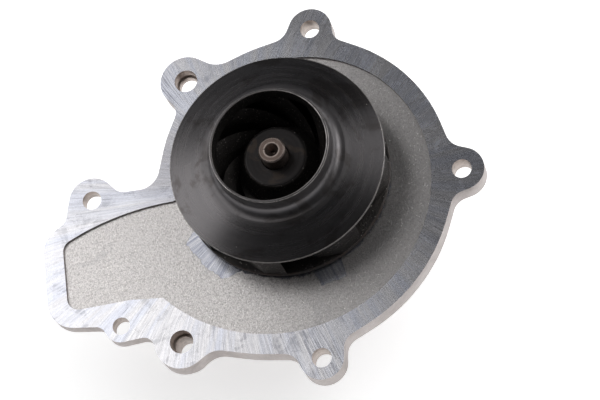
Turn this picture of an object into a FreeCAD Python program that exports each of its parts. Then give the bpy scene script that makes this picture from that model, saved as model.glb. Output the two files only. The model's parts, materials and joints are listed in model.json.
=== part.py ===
import FreeCAD, Part
import math
import os

# Engine coolant pump: a die-cast cover that carries a closed impeller on a shaft-bearing.
# Millimetres and degrees. The Z axis is the shaft: +Z points into the engine block
# (impeller side), -Z is the belt side. +X runs parallel to the line from the left ear
# hole to the right ear hole. The pieces are drawn from the machined sealing face, Z = 0,
# and lifted at the end, so that the origin is the centre of the hub's pulley face.

# ---- volute: the wet recess widens towards the outlet, clockwise seen from +Z ----
VOLUTE_RADIUS = 52.0            # radius of the recess edge at 0 degrees
VOLUTE_GROWTH = 0.072           # radius gained per degree of clockwise turn
VOLUTE_TONGUE = 187.0           # angle where the volute starts, at the tongue
VOLUTE_END = -137.0             # angle where it opens into the outlet
RECESS_DEPTH = 1.0
FLANGE_WIDTH = 7.4              # sealing land outside the recess

# ---- casting ----
PLATE = 8.0                     # flange thickness round the volute and at the main ears
THIN_PLATE = 5.5                # flange thickness round the outlet pad
THIN_EDGE_X = -50.0             # the thin flange starts here and runs to -X
WALL = 4.5                      # wall between the recess floor and the back
BOSS_RADIUS = 19.5
BOSS_FOOT = 27.0                # radius where the boss flares into the plate
BOSS_END = -46.5
RIB_WIDTH = 4.0
RIB_DROP = 19.0                 # how far a rib climbs the boss below the plate back
MID_RIBS = [-177.0, 35.0, -42.0]    # ribs between the ears; each main ear has its own
BEVEL_WIDTH = 4.0               # hand-finished bevel on the outlet pad's outer edge
BEVEL_DEPTH = 0.9
BEVEL_EDGE_X = -90.1            # where the bevel meets the pad's outer edge
BEVEL_START_Y = -52.0
BEVEL_LENGTH = 42.0
LOW_CORNER = 4.6                # corner rounds of the recess at the outlet
HIGH_CORNER = 4.6
PAST = 1.0                      # how far a cutting tool runs past the surface it opens
BELT_GAP = 0.3                  # straight run left between two blended rounds

# ear name: centre x, centre y, ear radius
EARS = {
    "right": (63.0, -3.0, 8.0),
    "top": (9.5, 56.5, 8.0),
    "upper_dowel": (-37.0, 40.5, 9.6),
    "left": (-72.0, -3.0, 8.6),
    "small": (-60.5, -51.5, 6.0),
    "lower_dowel": (-38.5, -59.0, 9.7),
    "bottom": (11.5, -68.5, 7.9),
}
BOLT_HOLE = 3.5
SMALL_HOLE = 3.2
DOWEL_BORE = 4.25
DOWEL_DEPTH = 5.0
LOWER_BOSS_END = -14.0
LOWER_BOSS_RADIUS = 7.6

# ---- bores of the casting ----
SEAL_BORE = 15.0
SEAL_SEAT = -11.2
CHAMBER_RADIUS = 13.0
BEARING_BORE = 15.0
BEARING_SEAT = -16.0
WEEP_ANGLE = -150.0
WEEP_Z = -15.0
WEEP_DRILL = 2.2
RESERVOIR_RADIUS = 5.5
RESERVOIR_BOSS = 7.5
RESERVOIR_INNER = 19.0
RESERVOIR_OUTER = 33.0

# ---- impeller ----
SHROUD_RADIUS = 38.5
SHROUD_EDGE_Z = 17.6
SHROUD_WALL = 1.8
EYE_RADIUS = 20.2
NECK_RADIUS = 21.2
NECK_TOP = 30.8
FLARE_RADIUS = 25.2             # the neck's fillet ends here and the cone starts
FLARE_Z = 21.8
FILLET_TOP = 25.6
DISC_RADIUS = 38.0
DISC_BACK = 0.6
DISC_FRONT = 2.6
HUB_RADIUS = 10.6
HUB_TOP = 19.4
VANES = 8
VANE_ANGLE = 22.0               # blade angle from the tangent
VANE_THICKNESS = 3.0
VANE_START = 14.5
VANE_TIP_ANGLE = -50.0          # direction of the first vane's tip
SEAT_RADIUS = 14.4              # recess in the impeller's back for the mating ring
SEAT_TOP = 7.0

# ---- shaft ----
NOSE_RADIUS = 4.75
NOSE_TOP = 26.1
SEAL_SHAFT_RADIUS = 6.0
SEAL_SHAFT_TOP = 5.4
SHAFT_RADIUS = 8.0
SHOULDER_Z = -12.8
SHAFT_END = -55.5
CENTRE_RADIUS = 2.5
CENTRE_DEPTH = 2.6

# ---- shaft bearing: one ball row, one roller row ----
RING_RADIUS = 15.0
RACE_RADIUS = 12.54
RING_END = -46.0
BALLS = 9
BALL_RADIUS = 2.78
BALL_PITCH = 10.4
BALL_Z = -23.0
ROLLERS = 10
ROLLER_RADIUS = 2.25
ROLLER_PITCH = 10.27
ROLLER_LENGTH = 8.0
ROLLER_Z = -37.0
RUNNING_GAP = 0.05

# ---- drive hub ----
FLANGE_RADIUS = 33.0
FLANGE_TOP = -54.0
FLANGE_FACE = -58.5
HUB_BOSS_RADIUS = 13.0
HUB_BOSS_TOP = -47.6
PILOT_RADIUS = 11.0
PILOT_TOP = -56.0
PULLEY_BOLTS = 4
PULLEY_PITCH = 26.0             # radius of the pulley bolt circle
PULLEY_HOLE = 3.4

Z_AXIS = FreeCAD.Vector(0, 0, 1)
ORIGIN = FreeCAD.Vector(0, 0, 0)


def vec(x, y, z=0.0):
    return FreeCAD.Vector(x, y, z)


def polar(radius, angle, z=0.0):
    turn = math.radians(angle)
    return vec(radius * math.cos(turn), radius * math.sin(turn), z)


def turned_about_z(shape, angle):
    copy = shape.copy()
    copy.rotate(ORIGIN, Z_AXIS, angle)
    return copy


# ---------------------------------------------------------------- solids of revolution

def cylinder(radius, low, high, x=0.0, y=0.0):
    return Part.makeCylinder(radius, high - low, vec(x, y, low), Z_AXIS)


def turned(profile):
    """Revolve a closed (radius, z) profile; a third item marks an arc's middle point."""
    corners = list(profile) + [profile[0]]
    edges = []
    index = 0
    while index < len(corners) - 1:
        start = corners[index]
        after = corners[index + 1]
        if len(after) == 3:
            stop = corners[index + 2]
            arc = Part.Arc(vec(start[0], 0, start[1]), vec(after[0], 0, after[1]),
                           vec(stop[0], 0, stop[1]))
            edges.append(arc.toShape())
            index += 2
        else:
            edges.append(Part.makeLine(vec(start[0], 0, start[1]), vec(after[0], 0, after[1])))
            index += 1
    face = Part.Face(Part.Wire(edges))
    return face.revolve(ORIGIN, Z_AXIS, 360)


def ring(inner, outer, low, high):
    return turned([(inner, low), (outer, low), (outer, high), (inner, high)])


def l_ring(inner, outer, low, high, wall, base):
    """An L-section ring: a collar at the outer radius and a base at its high end."""
    return turned([(inner, high - base), (outer - wall, high - base), (outer - wall, low),
                   (outer, low), (outer, high), (inner, high)])


# ---------------------------------------------------------------- flat outlines

def belt(rounds):
    """Closed outline through (x, y, r) rounds, counter-clockwise, joined by tangent lines.

    A positive radius bulges outwards, a negative radius is a hollow.
    """
    normals = []
    for index, (x1, y1, r1) in enumerate(rounds):
        x2, y2, r2 = rounds[(index + 1) % len(rounds)]
        length = math.hypot(x2 - x1, y2 - y1)
        dx, dy = (x2 - x1) / length, (y2 - y1) / length
        along = (r1 - r2) / length
        across = math.sqrt(1.0 - along * along)
        normals.append((along * dx + across * dy, along * dy - across * dx))
    edges = []
    for index, (x, y, radius) in enumerate(rounds):
        n_in = normals[index - 1]
        n_out = normals[index]
        start = vec(x + radius * n_in[0], y + radius * n_in[1])
        stop = vec(x + radius * n_out[0], y + radius * n_out[1])
        a_in = math.atan2(n_in[1], n_in[0])
        a_out = math.atan2(n_out[1], n_out[0])
        if radius > 0:
            sweep = (a_out - a_in) % (2 * math.pi)
        else:
            sweep = -((a_in - a_out) % (2 * math.pi))
        middle = a_in + sweep / 2
        peak = vec(x + radius * math.cos(middle), y + radius * math.sin(middle))
        edges.append(Part.Arc(start, peak, stop).toShape())
        x2, y2, r2 = rounds[(index + 1) % len(rounds)]
        edges.append(Part.makeLine(stop, vec(x2 + r2 * n_out[0], y2 + r2 * n_out[1])))
    return Part.Wire(edges)


def valley(first, second, radius):
    """The hollow that blends two neighbouring rounds on the outline's outer side."""
    x1, y1, r1 = first
    x2, y2, r2 = second
    reach1 = abs(r1) + radius + BELT_GAP
    reach2 = abs(r2) + radius + BELT_GAP
    length = math.hypot(x2 - x1, y2 - y1)
    dx, dy = (x2 - x1) / length, (y2 - y1) / length
    along = (reach1 ** 2 - reach2 ** 2 + length ** 2) / (2 * length)
    across = math.sqrt(reach1 ** 2 - along ** 2)
    return (x1 + along * dx + across * dy, y1 + along * dy - across * dx, -radius)


def volute_radius(angle):
    return VOLUTE_RADIUS - VOLUTE_GROWTH * angle


def rim_round(angle):
    """The circle that hugs the flange's outer edge near an angle of the volute."""
    shift = math.degrees(VOLUTE_GROWTH)
    turn = math.radians(angle)
    return (shift * math.sin(turn), -shift * math.cos(turn), volute_radius(angle) + FLANGE_WIDTH)


def volute_curve(shrink, z, start=VOLUTE_TONGUE, stop=VOLUTE_END):
    """The volute's spiral from the tongue to the outlet, drawn in by shrink."""
    steps = 24
    points = []
    for index in range(steps + 1):
        angle = start + (stop - start) * index / steps
        points.append(polar(volute_radius(angle) - shrink, angle, z))
    curve = Part.BSplineCurve()
    curve.interpolate(points)
    return curve.toShape()


def cover_outline():
    ear = EARS
    corner_high = (-81.3, -20.9, 8.7)
    corner_low = (-77.5, -40.3, 10.5)
    rim_right = rim_round(33)
    rim_top = rim_round(105)
    rim_left = rim_round(160)
    rim_low = rim_round(-98)
    rim_corner = rim_round(-42)
    rounds = [
        ear["right"], valley(ear["right"], rim_right, 7.0), rim_right,
        valley(rim_right, ear["top"], 5.0), ear["top"],
        valley(ear["top"], rim_top, 7.0), rim_top,
        valley(rim_top, ear["upper_dowel"], 9.0), ear["upper_dowel"],
        valley(ear["upper_dowel"], rim_left, 5.0), rim_left,
        (-54.8, 7.4, -7.9), (-59.7, 5.0, -5.8), ear["left"],
        (-86.4, -7.9, -5.0), corner_high, corner_low,
        (-69.8, -54.7, -3.5), ear["small"],
        (-52.5, -60.5, -4.1), ear["lower_dowel"],
        valley(ear["lower_dowel"], rim_low, 8.0), rim_low,
        valley(rim_low, ear["bottom"], 6.0), ear["bottom"],
        valley(ear["bottom"], rim_corner, 6.0), rim_corner,
        valley(rim_corner, ear["right"], 6.0),
    ]
    return belt(rounds)


def filleted(corner, before, after, radius):
    """Two tangent points and the arc middle that round a corner."""
    to_before = (before - corner).normalize()
    to_after = (after - corner).normalize()
    half = to_before.getAngle(to_after) / 2
    cut = radius / math.tan(half)
    bisector = (to_before + to_after).normalize()
    middle = corner + bisector * (radius / math.sin(half) - radius)
    return corner + to_before * cut, middle, corner + to_after * cut


def recess_outline(z):
    """The wet recess: the volute spiral, then the outlet with its rounded corners."""
    spiral = volute_curve(0.0, z)
    tongue = polar(volute_radius(VOLUTE_TONGUE), VOLUTE_TONGUE, z)
    throat = polar(volute_radius(VOLUTE_END), VOLUTE_END, z)
    step = vec(-57.0, -42.0, z)
    low = vec(-80.2, -44.6, z)
    high = vec(-82.8, -19.2, z)
    roof = vec(-75.5, -15.3, z)
    lip = vec(-42.0, -6.0, z)
    low_in, low_mid, low_out = filleted(low, step, high, LOW_CORNER)
    high_in, high_mid, high_out = filleted(high, low, roof, HIGH_CORNER)
    return Part.Wire([
        spiral,
        Part.makeLine(throat, step),
        Part.makeLine(step, low_in),
        Part.Arc(low_in, low_mid, low_out).toShape(),
        Part.makeLine(low_out, high_in),
        Part.Arc(high_in, high_mid, high_out).toShape(),
        Part.makeLine(high_out, roof),
        Part.Arc(roof, vec(-59.0, -9.1, z), lip).toShape(),
        Part.makeLine(lip, tongue),
    ])


# ---------------------------------------------------------------- casting

def rib(angle):
    """A gusset from the bearing boss out to the rim, tapering to nothing at its end."""
    reach = volute_radius(angle) - 1.0
    top = -RECESS_DEPTH - WALL + 0.5
    profile = Part.makePolygon([
        vec(BOSS_RADIUS - 2.5, 0, top), vec(reach, 0, top), vec(reach, 0, -PLATE),
        vec(BOSS_RADIUS - 2.5, 0, -PLATE - RIB_DROP), vec(BOSS_RADIUS - 2.5, 0, top)])
    solid = Part.Face(profile).extrude(vec(0, RIB_WIDTH, 0))
    solid.translate(vec(0, -RIB_WIDTH / 2, 0))
    return turned_about_z(solid, angle)


def back_relief():
    """What is cored out of the plate's back between the rim and the boss."""
    rim = volute_curve(2.5, -PLATE)
    first = rim.valueAt(rim.FirstParameter)
    last = rim.valueAt(rim.LastParameter)
    face = Part.Face(Part.Wire([rim, Part.makeLine(last, first)]))
    return face.extrude(vec(0, 0, PLATE - RECESS_DEPTH - WALL))


def radial_cylinder(radius, inner, outer, angle, z):
    direction = polar(1.0, angle)
    return Part.makeCylinder(radius, outer - inner, polar(inner, angle, z), direction)


def bearing_boss():
    flare_top = -RECESS_DEPTH - 1.0
    return turned([
        (0, flare_top), (BOSS_FOOT, flare_top), (BOSS_FOOT, -RECESS_DEPTH - WALL),
        (BOSS_RADIUS + 1.9, -8.0, "middle"), (BOSS_RADIUS, -PLATE - 6.0),
        (BOSS_RADIUS - 0.8, BOSS_END + 1.2), (BOSS_RADIUS - 2.0, BOSS_END), (0, BOSS_END)])


def thin_back():
    """What thins the outlet side of the plate, leaving the upper dowel's ear thick."""
    x, y, radius = EARS["upper_dowel"]
    reach = 2 * abs(BEVEL_EDGE_X)
    block = Part.makeBox(reach, 2 * reach, PLATE,
                         vec(THIN_EDGE_X - reach, -reach, -THIN_PLATE - PLATE))
    return block.cut(cylinder(radius + 8.0, -PLATE, 0, x, y))


def outlet_bevel():
    """The wedge filed off the outlet pad's outer edge."""
    inner = BEVEL_EDGE_X + BEVEL_WIDTH
    outer = BEVEL_EDGE_X - PAST
    section = Part.makePolygon([
        vec(inner, BEVEL_START_Y, PAST), vec(inner, BEVEL_START_Y, 0),
        vec(BEVEL_EDGE_X, BEVEL_START_Y, -BEVEL_DEPTH), vec(outer, BEVEL_START_Y, -BEVEL_DEPTH),
        vec(outer, BEVEL_START_Y, PAST), vec(inner, BEVEL_START_Y, PAST)])
    return Part.Face(section).extrude(vec(0, BEVEL_LENGTH, 0))


def pump_housing():
    plate = Part.Face(cover_outline()).extrude(vec(0, 0, -PLATE))
    plate = plate.cut(thin_back())
    recess = Part.Face(recess_outline(-RECESS_DEPTH)).extrude(vec(0, 0, RECESS_DEPTH))
    plate = plate.cut(recess)
    plate = plate.cut(back_relief())
    plate = plate.cut(outlet_bevel())

    ear_angles = [math.degrees(math.atan2(y, x)) for x, y, radius in EARS.values()
                  if x > THIN_EDGE_X]
    x, y, radius = EARS["lower_dowel"]
    solids = [bearing_boss(), cylinder(LOWER_BOSS_RADIUS, LOWER_BOSS_END, -PLATE, x, y)]
    solids += [rib(angle) for angle in ear_angles + MID_RIBS]
    solids.append(radial_cylinder(RESERVOIR_BOSS, 12.0, RESERVOIR_OUTER, WEEP_ANGLE, WEEP_Z))
    body = plate.fuse(solids)

    cuts = [cylinder(SEAL_BORE, SEAL_SEAT, 1.0),
            cylinder(CHAMBER_RADIUS, BEARING_SEAT - 1, 0.0),
            cylinder(BEARING_BORE, BOSS_END - 1, BEARING_SEAT)]
    for name, (x, y, radius) in EARS.items():
        bolt = SMALL_HOLE if name == "small" else BOLT_HOLE
        cuts.append(cylinder(bolt, -30, 1, x, y))
        if "dowel" in name:
            cuts.append(cylinder(DOWEL_BORE, -DOWEL_DEPTH, 1, x, y))
    cuts.append(radial_cylinder(WEEP_DRILL, 10.0, RESERVOIR_INNER + 1, WEEP_ANGLE, -14.0))
    cuts.append(radial_cylinder(RESERVOIR_RADIUS, RESERVOIR_INNER, RESERVOIR_OUTER + 1,
                                WEEP_ANGLE, WEEP_Z))
    vent = polar(RESERVOIR_INNER + 4.5, WEEP_ANGLE)
    cuts.append(cylinder(WEEP_DRILL, WEEP_Z - 12, WEEP_Z, vent.x, vent.y))
    return body.cut(cuts).removeSplitter()


def weep_reservoir_plug():
    """A pressed cup plug that closes the leak reservoir's drilling."""
    cup = radial_cylinder(RESERVOIR_RADIUS, RESERVOIR_OUTER - 4.5, RESERVOIR_OUTER - 0.5,
                          WEEP_ANGLE, WEEP_Z)
    hollow = radial_cylinder(RESERVOIR_RADIUS - 0.9, RESERVOIR_OUTER - 3.6, RESERVOIR_OUTER,
                             WEEP_ANGLE, WEEP_Z)
    return cup.cut(hollow)


# ---------------------------------------------------------------- impeller

def shroud():
    wall = SHROUD_WALL
    return turned([
        (SHROUD_RADIUS - 0.3, SHROUD_EDGE_Z - 1.3), (SHROUD_RADIUS, SHROUD_EDGE_Z - 1.0),
        (SHROUD_RADIUS, SHROUD_EDGE_Z - 0.2), (SHROUD_RADIUS - 0.2, SHROUD_EDGE_Z),
        (FLARE_RADIUS, FLARE_Z), (NECK_RADIUS + 1.15, FLARE_Z + 1.1, "middle"),
        (NECK_RADIUS, FILLET_TOP), (NECK_RADIUS, NECK_TOP - 0.15),
        (NECK_RADIUS - 0.15, NECK_TOP), (EYE_RADIUS + 0.2, NECK_TOP),
        (EYE_RADIUS, NECK_TOP - 0.2), (EYE_RADIUS, FILLET_TOP - 0.6),
        (EYE_RADIUS + 1.5, FLARE_Z - 0.5, "middle"), (FLARE_RADIUS, FLARE_Z - wall)])


def impeller_disc():
    """Back plate and hub in one, with the seat for the mating ring in its back."""
    return turned([
        (NOSE_RADIUS, SEAT_TOP), (SEAT_RADIUS, SEAT_TOP), (SEAT_RADIUS, DISC_BACK),
        (DISC_RADIUS - 0.3, DISC_BACK), (DISC_RADIUS, DISC_BACK + 0.3),
        (DISC_RADIUS, DISC_FRONT), (27.0, DISC_FRONT), (17.6, 7.4, "middle"),
        (HUB_RADIUS + 1.0, HUB_TOP - 1.2), (HUB_RADIUS + 0.4, HUB_TOP - 0.1),
        (HUB_RADIUS, HUB_TOP), (NOSE_RADIUS, HUB_TOP)])


def vane_space():
    """The passage between disc and shroud, a little into both walls."""
    return turned([
        (VANE_START, DISC_BACK + 0.9), (DISC_RADIUS, DISC_BACK + 0.9),
        (DISC_RADIUS, SHROUD_EDGE_Z - 0.9), (FLARE_RADIUS, FLARE_Z - 0.9),
        (NECK_RADIUS + 0.75, FLARE_Z + 0.6, "middle"), (NECK_RADIUS - 0.5, FILLET_TOP - 0.6),
        (VANE_START, 11.5)])


def vane_blade():
    """One blade: a spiral of constant angle, trailing the clockwise turn."""
    rate = math.tan(math.radians(VANE_ANGLE))
    steps = 8
    start = VANE_START - 1.0
    stop = DISC_RADIUS + 2.0
    wrap = math.log(stop / start) / rate
    sides = []
    for side in (-0.5, 0.5):
        points = []
        for index in range(steps + 1):
            turn = wrap * index / steps
            radius = start * math.exp(rate * turn)
            heading = turn + math.pi / 2 - math.radians(VANE_ANGLE)
            offset = side * VANE_THICKNESS
            points.append(vec(radius * math.cos(turn) - offset * math.sin(heading),
                              radius * math.sin(turn) + offset * math.cos(heading)))
        sides.append(points)
    inner, outer = sides
    curves = []
    for points in (inner, outer):
        curve = Part.BSplineCurve()
        curve.interpolate(points)
        curves.append(curve.toShape())
    wire = Part.Wire([curves[0], Part.makeLine(inner[-1], outer[-1]), curves[1],
                      Part.makeLine(outer[0], inner[0])])
    blade = Part.Face(wire).extrude(vec(0, 0, 30))
    tip_turn = math.degrees(math.log(DISC_RADIUS / start) / rate)
    return turned_about_z(blade, VANE_TIP_ANGLE - tip_turn).common(vane_space())


def impeller():
    blade = vane_blade()
    blades = [turned_about_z(blade, 360.0 * index / VANES) for index in range(VANES)]
    return impeller_disc().fuse([shroud()] + blades)


# ---------------------------------------------------------------- shaft and drive hub

def centre_drilling(face_z, direction):
    """A lathe centre: a short pilot and a cone that opens at the face."""
    cone = Part.makeCone(CENTRE_RADIUS, 0.8, CENTRE_DEPTH, vec(0, 0, face_z), vec(0, 0, direction))
    pilot = Part.makeCylinder(0.8, CENTRE_DEPTH + 1.4, vec(0, 0, face_z), vec(0, 0, direction))
    return cone.fuse(pilot)


def pump_shaft():
    blank = turned([
        (0, NOSE_TOP), (NOSE_RADIUS - 0.45, NOSE_TOP), (NOSE_RADIUS, NOSE_TOP - 0.45),
        (NOSE_RADIUS, SEAL_SHAFT_TOP), (SEAL_SHAFT_RADIUS, SEAL_SHAFT_TOP - 0.5),
        (SEAL_SHAFT_RADIUS, SHOULDER_Z), (SHAFT_RADIUS - 0.4, SHOULDER_Z),
        (SHAFT_RADIUS, SHOULDER_Z - 0.4), (SHAFT_RADIUS, SHAFT_END + 0.8),
        (SHAFT_RADIUS - 0.8, SHAFT_END), (0, SHAFT_END)])
    groove = Part.makeTorus(BALL_PITCH, BALL_RADIUS + RUNNING_GAP, vec(0, 0, BALL_Z), Z_AXIS)
    centres = [centre_drilling(NOSE_TOP, -1), centre_drilling(SHAFT_END, 1)]
    return blank.cut([groove] + centres)


def drive_hub():
    body = turned([
        (SHAFT_RADIUS, HUB_BOSS_TOP), (HUB_BOSS_RADIUS - 0.6, HUB_BOSS_TOP),
        (HUB_BOSS_RADIUS, HUB_BOSS_TOP - 0.6), (HUB_BOSS_RADIUS, FLANGE_TOP + 1.5),
        (HUB_BOSS_RADIUS + 0.45, FLANGE_TOP + 0.45, "middle"),
        (HUB_BOSS_RADIUS + 1.5, FLANGE_TOP), (FLANGE_RADIUS - 0.5, FLANGE_TOP),
        (FLANGE_RADIUS, FLANGE_TOP - 0.5), (FLANGE_RADIUS, FLANGE_FACE + 0.5),
        (FLANGE_RADIUS - 0.5, FLANGE_FACE), (PILOT_RADIUS, FLANGE_FACE),
        (PILOT_RADIUS, PILOT_TOP), (SHAFT_RADIUS, PILOT_TOP)])
    cuts = []
    for index in range(PULLEY_BOLTS):
        angle = 360.0 * index / PULLEY_BOLTS
        hole = polar(PULLEY_PITCH, angle)
        cuts.append(cylinder(PULLEY_HOLE, FLANGE_FACE - 1, FLANGE_TOP + 1, hole.x, hole.y))
    return body.cut(cuts)


# ---------------------------------------------------------------- shaft bearing

def bearing_outer_ring():
    tube = turned([
        (RACE_RADIUS, RING_END), (RING_RADIUS - 0.5, RING_END), (RING_RADIUS, RING_END + 0.5),
        (RING_RADIUS, BEARING_SEAT - 0.5), (RING_RADIUS - 0.5, BEARING_SEAT),
        (RACE_RADIUS, BEARING_SEAT)])
    groove = Part.makeTorus(BALL_PITCH, BALL_RADIUS + RUNNING_GAP, vec(0, 0, BALL_Z), Z_AXIS)
    return tube.cut(groove)


def around(shape, count):
    return [turned_about_z(shape, 360.0 * index / count) for index in range(count)]


def bearing_balls():
    ball = Part.makeSphere(BALL_RADIUS, vec(BALL_PITCH, 0, BALL_Z))
    return Part.makeCompound(around(ball, BALLS))


def ball_cage():
    band = ring(9.35, 11.55, BALL_Z - 2.3, BALL_Z + 3.3)
    pocket = Part.makeSphere(BALL_RADIUS + 0.08, vec(BALL_PITCH, 0, BALL_Z))
    return band.cut(around(pocket, BALLS))


def bearing_rollers():
    low = ROLLER_Z - ROLLER_LENGTH / 2
    roller = cylinder(ROLLER_RADIUS, low, low + ROLLER_LENGTH, ROLLER_PITCH)
    return Part.makeCompound(around(roller.makeChamfer(0.25, roller.Edges[:1]), ROLLERS))


def roller_cage():
    reach = ROLLER_LENGTH / 2
    band = ring(9.4, 11.3, ROLLER_Z - reach - 1.3, ROLLER_Z + reach + 1.3)
    pocket = cylinder(ROLLER_RADIUS + 0.1, ROLLER_Z - reach - 0.1, ROLLER_Z + reach + 0.1,
                      ROLLER_PITCH)
    return band.cut(around(pocket, ROLLERS))


def seal_insert(outer_z, inward):
    """The steel ring that stiffens a bearing seal; inward is +1 or -1 along Z."""
    return ring(9.6, 12.1, min(outer_z, outer_z + 0.5 * inward), max(outer_z, outer_z + 0.5 * inward))


def seal_rubber(outer_z, inward):
    """The moulded rubber of a bearing seal, with its lip just clear of the shaft."""
    near = outer_z + 0.5 * inward
    far = outer_z + 1.5 * inward
    return turned([
        (12.1, outer_z), (RACE_RADIUS, outer_z), (RACE_RADIUS, far), (9.6, far),
        (SHAFT_RADIUS + RUNNING_GAP, far + 0.4 * inward), (SHAFT_RADIUS + RUNNING_GAP, far),
        (9.0, near), (12.1, near)])


# ---------------------------------------------------------------- mechanical seal

def seal_case():
    wall = 0.8
    top = -RECESS_DEPTH + wall
    return turned([
        (8.2, SEAL_SEAT), (SEAL_BORE, SEAL_SEAT), (SEAL_BORE, -RECESS_DEPTH),
        (17.4, -RECESS_DEPTH), (17.4, top), (SEAL_BORE - wall, top),
        (SEAL_BORE - wall, SEAL_SEAT + wall), (8.2, SEAL_SEAT + wall)])


def seal_bellows():
    base = SEAL_SEAT + 0.8
    return turned([
        (8.2, base), (13.8, base), (13.8, base + 1.0), (9.2, base + 1.0),
        (10.1, base + 2.6, "middle"), (9.2, base + 4.2), (12.0, base + 4.2),
        (12.0, -0.9), (11.0, -0.9), (11.0, base + 5.4), (8.2, base + 5.4),
        (8.2, base + 4.2), (9.1, base + 2.6, "middle"), (8.2, base + 1.0)])


def seal_spring_collar():
    return turned([
        (12.0, -6.0), (12.4, -6.0), (12.4, -1.5), (13.9, -1.5), (13.9, -0.9), (12.0, -0.9)])


def seal_spring():
    wire = 0.45
    low = SEAL_SEAT + 1.8 + wire
    high = -1.5 - wire
    radius = 13.15
    helix = Part.makeHelix((high - low) / 3.5, high - low, radius)
    helix.translate(vec(0, 0, low))
    section = Part.Wire(Part.makeCircle(wire, vec(radius, 0, low), vec(0, 1, 0)))
    return Part.Wire(helix.Edges).makePipeShell([section], True, True)


def seal_carbon_ring():
    foot = SEAL_SEAT + 0.8 + 5.4
    return turned([(8.4, foot), (11.0, foot), (11.0, -0.9), (10.6, -0.5),
                   (10.6, 0.95), (8.8, 0.95), (8.8, -0.5), (8.4, -0.9)])


def seal_mating_ring():
    return ring(7.4, 13.0, 1.0, 5.8)


def mating_ring_cup():
    return l_ring(7.4, SEAT_RADIUS, 1.2, SEAT_TOP, SEAT_RADIUS - 13.0, 1.2)


def slinger_ring():
    return turned([
        (SHAFT_RADIUS, -15.2), (9.4, -15.2), (9.4, -14.4), (11.8, -14.0), (11.8, -13.4),
        (SHAFT_RADIUS, -13.4)])


NODES = {
    "pump_housing": pump_housing(),
    "weep_reservoir_plug": weep_reservoir_plug(),
    "impeller": impeller(),
    "pump_shaft": pump_shaft(),
    "drive_hub": drive_hub(),
    "bearing_outer_ring": bearing_outer_ring(),
    "bearing_balls": bearing_balls(),
    "ball_cage": ball_cage(),
    "bearing_rollers": bearing_rollers(),
    "roller_cage": roller_cage(),
    "inner_bearing_seal": seal_rubber(BEARING_SEAT - 0.5, -1),
    "inner_bearing_seal_insert": seal_insert(BEARING_SEAT - 0.5, -1),
    "outer_bearing_seal": seal_rubber(RING_END + 0.5, 1),
    "outer_bearing_seal_insert": seal_insert(RING_END + 0.5, 1),
    "seal_case": seal_case(),
    "seal_bellows": seal_bellows(),
    "seal_spring": seal_spring(),
    "seal_spring_collar": seal_spring_collar(),
    "seal_carbon_ring": seal_carbon_ring(),
    "seal_mating_ring": seal_mating_ring(),
    "mating_ring_cup": mating_ring_cup(),
    "slinger_ring": slinger_ring(),
}

os.makedirs("parts", exist_ok=True)
for node, shape in NODES.items():
    shape.translate(vec(0, 0, -FLANGE_FACE))
    shape.exportStep("parts/%s.step" % node)
    print(node, len(shape.Solids), round(shape.Volume, 1), shape.isValid())
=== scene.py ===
import json
import math

import bmesh
import bpy
from mathutils import Matrix, Vector


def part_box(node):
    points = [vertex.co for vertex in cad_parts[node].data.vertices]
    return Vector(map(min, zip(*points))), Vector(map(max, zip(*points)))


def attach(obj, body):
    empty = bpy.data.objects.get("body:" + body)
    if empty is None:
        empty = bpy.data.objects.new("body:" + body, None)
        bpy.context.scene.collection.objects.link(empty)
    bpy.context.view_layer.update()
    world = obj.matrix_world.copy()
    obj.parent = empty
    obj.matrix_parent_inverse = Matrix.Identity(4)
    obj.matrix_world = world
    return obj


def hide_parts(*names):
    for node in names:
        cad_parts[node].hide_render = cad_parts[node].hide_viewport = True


# Engine coolant pump: die-cast cover, closed black impeller, steel shaft and drive hub.
# Metres throughout; MM turns a drawing size in millimetres into metres.
MM = 0.001
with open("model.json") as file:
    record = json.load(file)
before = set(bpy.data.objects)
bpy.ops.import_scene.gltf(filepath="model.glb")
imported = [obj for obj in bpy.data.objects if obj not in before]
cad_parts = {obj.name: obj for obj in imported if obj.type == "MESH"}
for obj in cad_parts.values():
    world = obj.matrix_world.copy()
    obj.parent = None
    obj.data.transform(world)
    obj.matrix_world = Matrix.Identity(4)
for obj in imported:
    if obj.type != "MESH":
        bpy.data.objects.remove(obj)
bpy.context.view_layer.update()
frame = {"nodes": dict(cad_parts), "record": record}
nodes = frame["nodes"]
mounts = {mount["name"]: mount for mount in frame["record"]["mounts"]}

LAND = mounts["sealing_face"]["pos_m"][2]       # height of the milled sealing land
RECESS = LAND - 1.0 * MM                        # height of the sand-textured recess floor
IMPELLER_LOW, IMPELLER_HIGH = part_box("impeller")

# ---- impeller sizes, heights measured from the sealing land, in millimetres ----
NECK = mounts["impeller_neck"]["dims"]["r_mm"]  # outside radius of the inlet neck
EYE = NECK - 1.0                                # inside radius of the neck
RIM_TOP = (IMPELLER_HIGH.z - LAND) / MM
SHROUD = IMPELLER_HIGH.x / MM                   # radius of the front shroud
SHROUD_EDGE = 17.6                              # height of its outer edge
SHROUD_WALL = 1.8
FLARE = (25.2, 21.8)                            # radius and height where cone meets fillet
FILLET_TOP = 25.6                               # height where the fillet meets the neck
FILLET_STEPS = 12
DISC = 38.0                                     # radius of the back plate
DISC_BACK = (IMPELLER_LOW.z - LAND) / MM
DISC_FRONT = DISC_BACK + 2.0
HUB = 10.6                                      # radius of the hub's flat top
HUB_TOP = 19.4
SWOOP_START = 27.0                              # radius where the plate starts to rise
SWOOP_MIDDLE = (17.6, 7.4)                      # radius and height halfway up to the hub
SWOOP_STEPS = 16
BORE = 4.75
SEAT = (14.4, 7.0)                              # radius and height of the seal ring's seat
VANES = 8
VANE_ANGLE = math.radians(22.0)                 # between a blade and the turning direction
VANE_THICKNESS = 3.0
VANE_START = 14.5                               # radius of a blade's leading edge
VANE_LEAD = 11.5                                # height of the leading edge's top
VANE_TIP = math.radians(-50.0)                  # direction of the first blade's tip
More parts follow.
